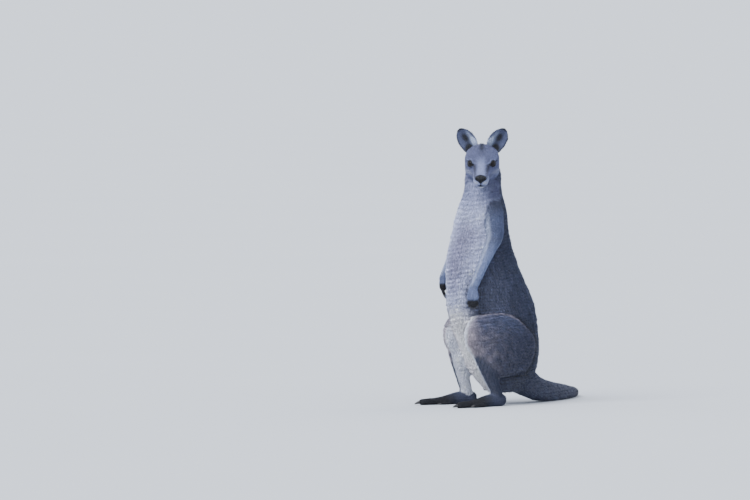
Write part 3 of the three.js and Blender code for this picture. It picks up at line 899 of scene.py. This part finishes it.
def hide_finish():
    """The skin under the hair: the same markings, with the short hair's own grain as bump."""
    finish = Finish("hide", Specular_IOR_Level=0.25)
    grain = finish.noise(900, 2)
    fine = finish.noise(2600, 1)
    patches = finish.noise(120, 3)
    colour = finish.mix(grain * 0.5, finish.attribute(COLOUR), (0.02, 0.02, 0.022))
    colour = finish.mix(patches.over(0.3, 0.8) * 0.25, colour, (0.02, 0.02, 0.02))
    finish.feed("Base Color", colour)
    finish.feed("Roughness", grain * 0.2 + 0.72)
    finish.bump(grain * 0.7 + fine * 0.3, 0.5, 0.0006)
    return finish.material


def hair_finish(name, rough, sheen):
    """Hair in the markings' shades, with small dark ticks."""
    finish = Finish(name, Sheen_Weight=sheen, Sheen_Roughness=0.4, Specular_IOR_Level=0.3)
    ticks = finish.noise(700, 2)
    dark = ticks.over(0.35, 0.75) * 0.22
    finish.feed("Base Color", finish.mix(dark, finish.attribute(COLOUR), (0.03, 0.03, 0.035)))
    finish.feed("Roughness", ticks * 0.2 + (rough - 0.1))
    return finish.material


def eye_finish():
    """A dark brown ball under a clear, wet coat."""
    finish = Finish("eye_brown", Coat_Weight=0.18, Coat_Roughness=0.03, Specular_IOR_Level=0.1)
    streaks = finish.noise(1400, 2)
    colour = finish.mix(streaks * 0.5, finish.attribute(COLOUR), (0.004, 0.003, 0.003))
    finish.feed("Base Color", colour)
    finish.feed("Roughness", streaks * 0.1 + 0.1)
    return finish.material


def bare_skin_finish(name, colour, pale, rough, pebble):
    """Bare dark skin with a fine pebbled grain: nose pad and lids."""
    finish = Finish(name, Specular_IOR_Level=0.25)
    cells = finish.node("ShaderNodeTexVoronoi", {"feature": "F1"},
                        {"Vector": finish.place(), "Scale": pebble}, "Distance")
    cloud = finish.noise(220, 3)
    worn = finish.mix(cloud.over(0.35, 0.7) * 0.5, colour, pale)
    finish.feed("Base Color", finish.mix(cells.over(0.2, 0.7) * 0.6, worn, (0.004, 0.004, 0.005)))
    finish.feed("Roughness", cloud * 0.25 + (rough - 0.1))
    finish.bump(1 - cells, 0.6, 0.0005)
    return finish.material


def claw_finish():
    """Dark horn with fine rings and a cloud of paler patches."""
    finish = Finish("dark_horn", Coat_Weight=0.2, Coat_Roughness=0.3)
    place = finish.place()
    rings = finish.node("ShaderNodeTexWave", {"wave_type": "BANDS", "bands_direction": "Z"},
                        {"Vector": place, "Scale": 260.0, "Distortion": 4.0, "Detail": 2.0})
    cloud = finish.noise(160, 3, place)
    colour = finish.mix(cloud.over(0.35, 0.7), (0.012, 0.011, 0.012), (0.045, 0.04, 0.038))
    finish.feed("Base Color", colour)
    finish.feed("Roughness", rings * 0.12 + 0.36)
    finish.bump(rings * 0.5 + cloud * 0.5, 0.35, 0.0004)
    return finish.material


# ---- making the skin ----

MUZZLE_DEPTH = 1.4  # of the coat at the end of the muzzle, in millimetres
SOLE_GAP = 0.3  # millimetres between the floor and the lowest skin and claws


def write_colour(mesh, colours):
    attribute = mesh.color_attributes.new(COLOUR, "FLOAT_COLOR", "POINT")
    full = np.ones((len(colours), 4), np.float32)
    full[:, :3] = colours
    attribute.data.foreach_set("color", full.ravel())


def unwrapped(piece):
    """The skin's own unwrap, in a map that its coat shares."""
    piece.data.uv_layers.new(name=BAKE_MAP)
    bpy.context.view_layer.objects.active = piece
    piece.select_set(True)
    bpy.ops.object.mode_set(mode="EDIT")
    bpy.ops.mesh.select_all(action="SELECT")
    bpy.ops.uv.smart_project(angle_limit=math.radians(66), island_margin=0.001)
    bpy.ops.object.mode_set(mode="OBJECT")
    piece.select_set(False)


def inset(mesh, shares):
    """Moves the outline of the coat in to the skin, but not the soles off the floor."""
    body, edges = from_world(points_of(mesh)), edges_of(mesh)
    muzzle = share_of(shares, "head", "lower_jaw") * ramp(-to_head(body)[:, 1], 100, 165)
    depth = mixed(coat_values(shares, 0), MUZZLE_DEPTH, muzzle)
    depth = spread(depth, edges, 20) * ramp(body[:, 2], 1.5, 14)
    body -= unit(spread(normals_of(mesh), edges, 4)) * depth[:, None]
    body[:, 2] = np.maximum(body[:, 2], SOLE_GAP)
    set_points(mesh, to_world(body))


def sculpt_face(mesh):
    """Lids, mouth and folds, on the points of the head only."""
    body = from_world(points_of(mesh))
    head = to_head(body)
    local = (head[:, 1] < 14) & (np.abs(head[:, 0]) < 80) & (np.abs(head[:, 2]) < 80)
    chosen = head[local]
    normals = (normals_of(mesh) @ HEAD_TURN)[local]
    face_folds(chosen, normals)
    carve_mouth(chosen, normals)
    open_lids(chosen)
    body[local] = from_head(chosen)
    set_points(mesh, to_world(body))


def ripple_coat(mesh, shares):
    """Low waves in the coat, where soft hair parts in bands and the haunch bunches up."""
    body = from_world(points_of(mesh))
    normals = normals_of(mesh)
    trunk = share_of(shares, "chest", "belly", "rump") + 0.4 * share_of(shares, "neck", "thigh")
    firm = share_of(shares, "rump", "belly", "chest", "thigh", "tail")
    push = 1.9 * fur_bands(body, BROAD_BAND) * trunk + 0.9 * waves(body, 26, 51) * firm
    set_points(mesh, to_world(body + normals * push[:, None]))


def make_skin():
    piece = joined_flesh()
    part_at = part_finder()
    fineness = smoothed(piece, part_at)
    mesh = thinned(piece, fineness)
    eyes = [from_head(EYE * [side, 1, 1]) for side in SIDES.values()]
    muzzle_end = from_head(NOSE + [0, 14, -18])
    refined(mesh, [(place, 26) for place in eyes] + [(muzzle_end, 38)])
    refined(mesh, [(place, 21) for place in eyes])
    shares = shares_of(mesh, part_at, 3)
    inset(mesh, shares)
    sculpt_face(mesh)
    ripple_coat(mesh, shares)
    for face in mesh.polygons:
        face.use_smooth = True
    unwrapped(piece)
    return piece, shares


# ---- the tufts ----

# a tuft's five points are its root, one side, the ridge, the other side and the tip
SPINDLE = np.array([[0, 2, 1], [0, 3, 2], [0, 1, 3], [4, 1, 2], [4, 2, 3], [4, 3, 1]])
HALF_PATCH = 0.0015  # half the width of a tuft's place on the bake map
PATCH_CORNERS = HALF_PATCH * np.array([[0, -1], [-1, 0], [0, 0], [1, 0], [0, 1]])
ROOT_DEPTH, RIDGE = 0.7, 0.45  # millimetres under the skin; height of the ridge by the width
MIDDLE_ALONG, MIDDLE_UP, TIP_UP = 0.42, 0.62, 0.86  # of the tuft's length, and of its lift
TUFT_GAP = 0.4  # millimetres between the floor and the lowest tuft
CLUMP_SIZE, CLUMP_PULL, CLUMPS = 13.0, 0.45, 4096
CLUMP_KEY = np.array([73856093, 19349663, 83492791])  # mixes a clump's place into a number
HAUNCH_ROUNDS, BROAD_ROUNDS, SIZE_ROUNDS = 26, 30, 24  # how far values are spread on the skin


class SkinField:
    """What grows at each point of the skin, and the triangles that it grows on."""

    def __init__(self, piece, shares):
        mesh = piece.data
        mesh.calc_loop_triangles()
        edges = edges_of(mesh)
        self.triangles = read(mesh.loop_triangles, "vertices", 3, np.int64)
        loops = read(mesh.loop_triangles, "loops", 3, np.int64)
        self.uv = read(mesh.uv_layers[BAKE_MAP].data, "uv", 2)[loops]
        self.body = from_world(points_of(mesh))
        self.normals = normals_of(mesh)
        self.shares = shares
        haunch = spread(share_of(shares, "thigh"), edges, HAUNCH_ROUNDS)
        broad = unit(spread(self.normals, edges, BROAD_ROUNDS))
        self.colour = markings(self.body, self.normals, broad, shares, haunch)
        self.band_shade_weights = band_shade_strength(self.colour, shares)
        self.lie = lie_of_coat(self.body, self.normals, shares)
        sizes = np.stack([coat_values(shares, i) for i in (1, 2, 3, 4)], 1)
        sizes = spread(sizes, edges, SIZE_ROUNDS).T.copy()
        self.length, self.width, self.lift, self.density = sizes
        self.owner = shares.argmax(1)
        self.fit_to_face()
        self.fit_to_ears()
        self.density *= ramp(self.body[:, 2], 1.0, 5.0) * ramp(self.normals[:, 2], -0.9, -0.5)

    def fit_to_face(self):
        """Shorter and closer towards the nose, none on eyes, nose pad and mouth, a tuft on top."""
        head = to_head(self.body)
        aside, ahead, up = face_place(head)
        face = share_of(self.shares, "head", "lower_jaw")
        front = face * ramp(ahead, 60, 150)
        crown = hill(np.linalg.norm(head - CROWN, axis=1), 14)
        self.length *= mixed(1.0, 0.5, front) * (1 + 1.1 * crown * face)
        self.width *= mixed(1.0, 0.72, front)
        self.density *= mixed(1.0, 1.5, front)
        self.lift += 12 * crown * face
        for side in SIDES.values():
            out, radius = lid_distance(head, side)[:2]
            self.density[(radius < 30) & (out < 0.20)] = 0
            self.length[(radius < 30) & (out < 0.6)] *= 0.6
        pad = nose_distance(head, 1.5) < 1.0
        mouth = (np.abs(up - mouth_height(ahead, aside)) < 1.6) & (ahead > 104) & (face > 0.5)
        self.density[pad | mouth] = 0

    def fit_to_ears(self):
        """Thin in the hollow, longer along the rim, and a fan of long hair at the inner edge."""
        for name, side in SIDES.items():
            across, height, half = ear_place(self.body, side)
            part = share_of(self.shares, f"ear_{name}")
            rim = ramp(np.abs(across) / half, 0.78, 0.98) * part
            hollow_side = ramp(ear_front(self.normals, side), 0.0, 0.4) * part
            tuft = hill(np.hypot((across + 24) / 10, (height - 36) / 24), 1) * hollow_side
            self.length *= 1 + 0.7 * rim + 1.6 * tuft
            self.density *= 1 - 0.55 * hollow_side * (1 - rim) * (1 - tuft)
            self.lift += 10 * tuft
            spread_from = np.array([-24.0 * side, -4.0, 34.0])
            fan = unit(to_ear(self.body, side) - spread_from + [0, -6, 14])
            fan = fan @ ear_turn(side).T @ HEAD_TURN.T
            self.lie = unit(mixed(self.lie, fan, tuft * 0.6))


def clumped(roots, lie, normals, length):
    """Turns each tuft a little to the nearest of some chosen ones, so that the coat gathers."""
    cell = np.floor(roots / CLUMP_SIZE).astype(np.int64)
    key = cell @ CLUMP_KEY
    jitter = np.random.default_rng(SEED + 3).uniform(0, 1, (CLUMPS, 3))
    pull = (cell + jitter[key % CLUMPS]) * CLUMP_SIZE - roots
    pull -= normals * (pull * normals).sum(1, keepdims=True)
    lean = unit(lie + CLUMP_PULL * pull / np.maximum(length, 8)[:, None])
    tone = np.random.default_rng(SEED + 4).normal(0, 1, CLUMPS)[(key * 7) % CLUMPS]
    return lean, tone


def spindle_mesh(name, points):
    """One mesh of solid tufts, from the five points of each, and its faces."""
    count = len(points)
    faces = (SPINDLE[None] + 5 * np.arange(count)[:, None, None]).reshape(-1, 3)
    mesh = bpy.data.meshes.new(name)
    mesh.vertices.add(count * 5)
    mesh.loops.add(faces.size)
    mesh.polygons.add(len(faces))
    mesh.loops.foreach_set("vertex_index", faces.ravel().astype(np.int32))
    mesh.polygons.foreach_set("loop_start", np.arange(0, faces.size, 3, dtype=np.int32))
    mesh.vertices.foreach_set("co", to_world(points).astype(np.float32).ravel())
    mesh.update(calc_edges=True)
    return mesh, faces


def grow(name, field, nodes, finish):
    """One piece of coat: solid spindles, rooted all over the skin of some nodes."""
    random = np.random.default_rng(SEED + sum(map(ord, name)))
    wanted = [i for i, part in enumerate(FLESH) if part.startswith(nodes)]
    here = np.isin(field.owner[field.triangles[:, 0]], wanted)
    chosen, uv = field.triangles[here], field.uv[here]
    a, b, c = (field.body[chosen[:, i]] for i in range(3))
    area = np.linalg.norm(np.cross(b - a, c - a), axis=1) / 2
    expected = np.cumsum(area * field.density[chosen].mean(1) / 100)
    count = int(expected[-1])
    steps = np.arange(count) + random.uniform(0, 1, count)
    picks = np.searchsorted(expected, steps * expected[-1] / count)
    picks = np.minimum(picks, len(chosen) - 1)
    weights = random.dirichlet([1, 1, 1], count)
    corners = chosen[picks]

    def blend(values):
        return (values[corners] * weights.reshape(count, 3, *[1] * (values.ndim - 1))).sum(1)

    root, normal, lie = blend(field.body), unit(blend(field.normals)), blend(field.lie)
    length = blend(field.length) * random.uniform(0.7, 1.25, count)
    width = blend(field.width) * random.uniform(0.75, 1.2, count)
    lift = np.radians(blend(field.lift) + random.normal(0, 3.5, count))
    lie, tone = clumped(root, lie, normal, length)
    lie = along_skin(unit(lie + 0.13 * random.normal(size=(count, 3))), normal)
    rise, along, reach = np.sin(lift)[:, None], np.cos(lift)[:, None], length[:, None]
    middle = root + (lie * along * MIDDLE_ALONG + normal * rise * MIDDLE_UP) * reach
    half = np.cross(normal, lie) * width[:, None] / 2
    points = np.stack([
        root - normal * ROOT_DEPTH,
        middle - half,
        middle + normal * (width * RIDGE)[:, None],
        middle + half,
        root + (lie * along + normal * (rise * TIP_UP)) * reach,
    ], 1)
    points[:, :, 2] = np.maximum(points[:, :, 2], TUFT_GAP)
    mesh, faces = spindle_mesh(name, points)
    level = 1 + 0.07 * tone + random.normal(0, 0.07, count)
    ticked = random.uniform(0, 1, count)
    tip_level = 1.08 + 0.35 * (ticked > 0.88) - 0.30 * (ticked < 0.08)
    # each tuft is darker at its root: partly the underfur's own grey, partly painted shade under
    # the coat
    by_point = np.stack([0.7 * level, level, level * 1.03, level, level * tip_level], 1)
    # painted light and shade of the coat's bands, at each of the tuft's points
    strength = np.repeat(blend(field.band_shade_weights), 5, 0)
    by_point *= band_light_and_shade(strength, points.reshape(-1, 3)).reshape(-1, 5)
    colour = blend(field.colour)[:, None] * by_point[:, :, None]
    write_colour(mesh, np.clip(colour, DIM, BRIGHT).reshape(-1, 3))
    place = (uv[picks] * weights[:, :, None]).sum(1)
    spots = (place[:, None] + PATCH_CORNERS[None]).reshape(-1, 2)[faces.ravel()]
    mesh.uv_layers.new(name=BAKE_MAP).data.foreach_set("uv", spots.astype(np.float32).ravel())
    mesh.materials.append(finish)
    put_on_body(new_object(name, mesh))


# ---- eyes, lids, nose and claws ----


def place_points(bm, points):
    """Puts a bmesh's points at places given in the head's axes."""
    for v, co in zip(bm.verts, to_world(from_head(points))):
        v.co = co


def finished(name, bm, material, replaced=()):
    bmesh.ops.recalc_face_normals(bm, faces=bm.faces)
    for face in bm.faces:
        face.smooth = True
    mesh = mesh_from(name, bm)
    mesh.materials.append(material)
    put_on_body(new_object(name, mesh), replaced)
    return mesh


PUPIL = np.array([0.004, 0.003, 0.004])
IRIS = np.array([0.007, 0.004, 0.003])
IRIS_EDGE = np.array([0.003, 0.002, 0.002])
LID_POINTS = 72  # round the edge of the lids
LID_ROLL = 1.15 * MM  # half the thickness of the edge
NOSTRIL = ((7.5, -1.0), (9.5, 2.6), (13.0, 3.6), (16.5, 1.0), (18.0, -3.0))  # aside and up


def round_form(subdivisions):
    bm = bmesh.new()
    bmesh.ops.create_icosphere(bm, subdivisions=subdivisions, radius=1)
    return bm, points_in(bm)


def make_eye(name, side, finish):
    """A dark ball with a raised clear front and an oval pupil that lies along the lids."""
    middle, gaze, along, across = eye_axes(side)
    bm, points = round_form(5)
    ahead = points @ gaze
    radius = EYE_RADIUS - 0.2 + 0.9 * ramp(ahead, 0.62, 0.92)
    oval = np.hypot(points @ along / 0.36, points @ across / 0.25)
    colours = painted(
        plain(IRIS, points),
        (IRIS_EDGE, ramp(np.arccos(np.clip(ahead, -1, 1)), 0.5, 0.75)),
        (PUPIL, 1 - ramp(oval, 0.9, 1.1)),
    )
    place_points(bm, middle + points * radius[:, None])
    write_colour(finished(f"eyeball_{name}", bm, finish, [f"eye_{name}"]), colours)


def make_lid_rim(name, side, finish):
    """The bare dark edge of the lids, a thin roll that lies on the ball."""
    middle, gaze, along, across = eye_axes(side)
    t = np.linspace(0, 2 * math.pi, LID_POINTS, endpoint=False)
    a = LID_HALF * np.cos(t)
    b = lid_height(a, np.sin(t) > 0) * np.sign(np.sin(t))
    a = a * 1.02
    angle = np.maximum(np.hypot(a, b), 1e-6)
    direction = gaze * np.cos(angle)[:, None]
    direction += (along * a[:, None] + across * b[:, None]) * (np.sin(angle) / angle)[:, None]
    line = to_world(from_head(middle + direction * (EYE_RADIUS + 0.9)))
    curve = bpy.data.curves.new(f"lid_{name}", "CURVE")
    curve.dimensions = "3D"
    curve.bevel_depth = LID_ROLL
    curve.bevel_resolution = 3
    spline = curve.splines.new("POLY")
    spline.points.add(LID_POINTS - 1)
    for point, co in zip(spline.points, line):
        point.co = (*co, 1)
    spline.use_cyclic_u = True
    drawn = bpy.data.objects.new("lid_curve", curve)
    bm = bmesh.new()
    bm.from_mesh(bpy.data.meshes.new_from_object(drawn))
    bpy.data.objects.remove(drawn)
    bmesh.ops.remove_doubles(bm, verts=bm.verts, dist=1e-6)
    finished(f"lid_rim_{name}", bm, finish)


def make_nose(finish):
    """The bare nose pad: two comma-shaped nostrils, a cleft between them, narrow below."""
    bm, points = round_form(6)
    up, seen = points[:, 2], ramp(-points[:, 1], -0.1, 0.25)
    shaped = points * NOSE_HALF
    shaped[:, 0] *= 1 - 0.60 * ramp(-up, -0.1, 0.95) + 0.08 * ramp(up, 0, 0.7)
    shaped[:, 2] -= 6.5 * hill(shaped[:, 0], 4.5) * ramp(up, 0.3, 1.0)
    aside = np.abs(shaped[:, 0])
    nostril, _ = line_distance(np.stack([aside, shaped[:, 2]], 1), NOSTRIL)
    push = -5.5 * hill(nostril, 2.1) * seen + 1.1 * hill(nostril - 3.6, 1.5) * seen
    push -= 1.5 * hill(aside, 1.0) * seen * ramp(-up, -0.3, 0.1)
    push += 0.8 * hill(aside - 4.0, 3.0) * seen * ramp(up, -0.8, 0.2)
    place_points(bm, NOSE + shaped + points * push[:, None])
    finished("nose_pad", bm, finish, ["nose"])


def make_claws(name, nodes, finish):
    """Claws with their flats rounded off, each fitted where its node is."""
    bm = bmesh.new()
    for node in nodes:
        part = merged_copy(node)
        bmesh.ops.subdivide_edges(part, edges=part.edges, cuts=2, use_grid_fill=True)
        bmesh.ops.triangulate(part, faces=part.faces)
        for _ in range(5):
            bmesh.ops.smooth_vert(part, verts=part.verts, factor=0.5, use_axis_x=True,
                                  use_axis_y=True, use_axis_z=True)
        for v in part.verts:
            v.co += v.normal * 0.5 * MM
            v.co.z = max(v.co.z, SOLE_GAP * MM)
        add_part(bm, part)
    finished(name, bm, finish, nodes)


# ---- assembly ----

skin, skin_shares = make_skin()
field = SkinField(skin, skin_shares)
# the skin takes the coat's markings and its bands' painted light and shade, at 0.85 of their
# brightness
write_colour(skin.data, field.colour * (0.85 * band_light_and_shade(field.band_shade_weights, field.body))[:, None])
skin.data.materials.append(hide_finish())
put_on_body(skin, FLESH)

body_hair = hair_finish("body_hair", 0.8, 0.12)
face_hair = hair_finish("face_hair", 0.75, 0.08)
paw_hair = hair_finish("paw_hair", 0.7, 0.05)

for part in ("neck", "chest", "belly", "rump", "tail"):
    grow(f"fur_{part}", field, (part,), body_hair)
grow("fur_arms", field, ("upper_arm", "forearm"), body_hair)
for side in SIDES:
    grow(f"fur_thigh_{side}", field, (f"thigh_{side}",), body_hair)
grow("fur_shanks", field, ("shank",), body_hair)
grow("fur_head", field, ("head", "lower_jaw"), face_hair)
grow("fur_ears", field, ("ear",), face_hair)
grow("fur_paws", field, ("hand", "foot"), paw_hair)

eye_gloss = eye_finish()
lid_skin = bare_skin_finish("lid_skin", (0.005, 0.004, 0.005), (0.012, 0.010, 0.011), 0.5, 900)
nose_skin = bare_skin_finish(
    "nose_skin", (0.003, 0.0035, 0.006), (0.008, 0.009, 0.016), 0.6, 620)
horn = claw_finish()
make_nose(nose_skin)
for name, side in SIDES.items():
    make_eye(name, side, eye_gloss)
    make_lid_rim(name, side, lid_skin)
    make_claws(f"hand_claws_{name}", [f"hand_claw_{name}_{i}" for i in range(1, 6)], horn)
    toes = [f"toe_claw_{name}_{toe}" for toe in ("fourth", "fifth", "third", "second")]
    make_claws(f"toe_claws_{name}", toes, horn)

# ---- floor, light and camera ----

CAMERA_AZIMUTH, CAMERA_ELEVATION = 52, 2  # degrees
CAMERA_DISTANCE, SUN_DISTANCE, FLOOR_HALF = 25.0, 4, 60  # metres
VIEW_ASIDE, VIEW_UP = -428.0, 620.0  # millimetres from the body to where the camera looks
SKY = np.array([1.26, 1.37, 1.58])
SUNS = {  # azimuth, elevation and angle across in degrees, strength, colour
    "key": (14, 46, 34, 5.0, (0.94, 0.97, 1.0)),
    "rim": (196, 40, 40, 1.1, (1.0, 0.97, 0.94)),
}


def floor_colour():
    """The grey that, under these lights, is as bright as the sky where the two meet."""
    light = SKY.copy()
    for _, elevation, _, strength, colour in SUNS.values():
        light += np.array(colour) * strength * math.sin(math.radians(elevation)) / math.pi
    return SKY / light


def toward(azimuth, elevation):
    """The direction from the body to what stands at an azimuth and an elevation, in degrees."""
    a, e = math.radians(azimuth), math.radians(elevation)
    return Vector((math.sin(a) * math.cos(e), -math.cos(a) * math.cos(e), math.sin(e)))


def make_floor():
    finish = Finish("floor_plain", Roughness=1.0, Specular_IOR_Level=0.0)
    pale = floor_colour()
    finish.feed("Base Color", finish.mix(finish.noise(0.6, 2), pale * 0.985, pale * 1.015))
    bm = bmesh.new()
    bmesh.ops.create_grid(bm, x_segments=1, y_segments=1, size=FLOOR_HALF)
    mesh = mesh_from("floor", bm)
    mesh.materials.append(finish.material)
    new_object("floor", mesh)


def add_sun(name, azimuth, elevation, angle, strength, colour):
    light = bpy.data.lights.new(name, "SUN")
    light.angle, light.energy, light.color = math.radians(angle), strength, colour
    piece = new_object(name, light)
    back = toward(azimuth, elevation)
    piece.location = back * SUN_DISTANCE
    piece.rotation_euler = back.to_track_quat("Z", "Y").to_euler()


def make_light():
    world = bpy.data.worlds.new("studio")
    bpy.context.scene.world = world
    world.use_nodes = True
    background = world.node_tree.nodes["Background"]
    background.inputs["Color"].default_value = (*SKY, 1)
    background.inputs["Strength"].default_value = 1.0
    for name, values in SUNS.items():
        add_sun(name, *values)


def make_camera():
    camera = new_object("camera", bpy.data.cameras.new("camera"))
    a, e = math.radians(CAMERA_AZIMUTH), math.radians(CAMERA_ELEVATION)
    across = np.array([math.cos(a), math.sin(a), 0])
    target = Vector(to_world(across * VIEW_ASIDE + [0, 0, VIEW_UP]))
    camera.data.lens = 300
    camera.data.sensor_width = 36
    camera.data.clip_end = 400
    camera.location = target + toward(CAMERA_AZIMUTH, CAMERA_ELEVATION) * CAMERA_DISTANCE
    camera.rotation_euler = (math.radians(90) - e, 0, a)
    bpy.context.scene.camera = camera


make_floor()
make_light()
make_camera()
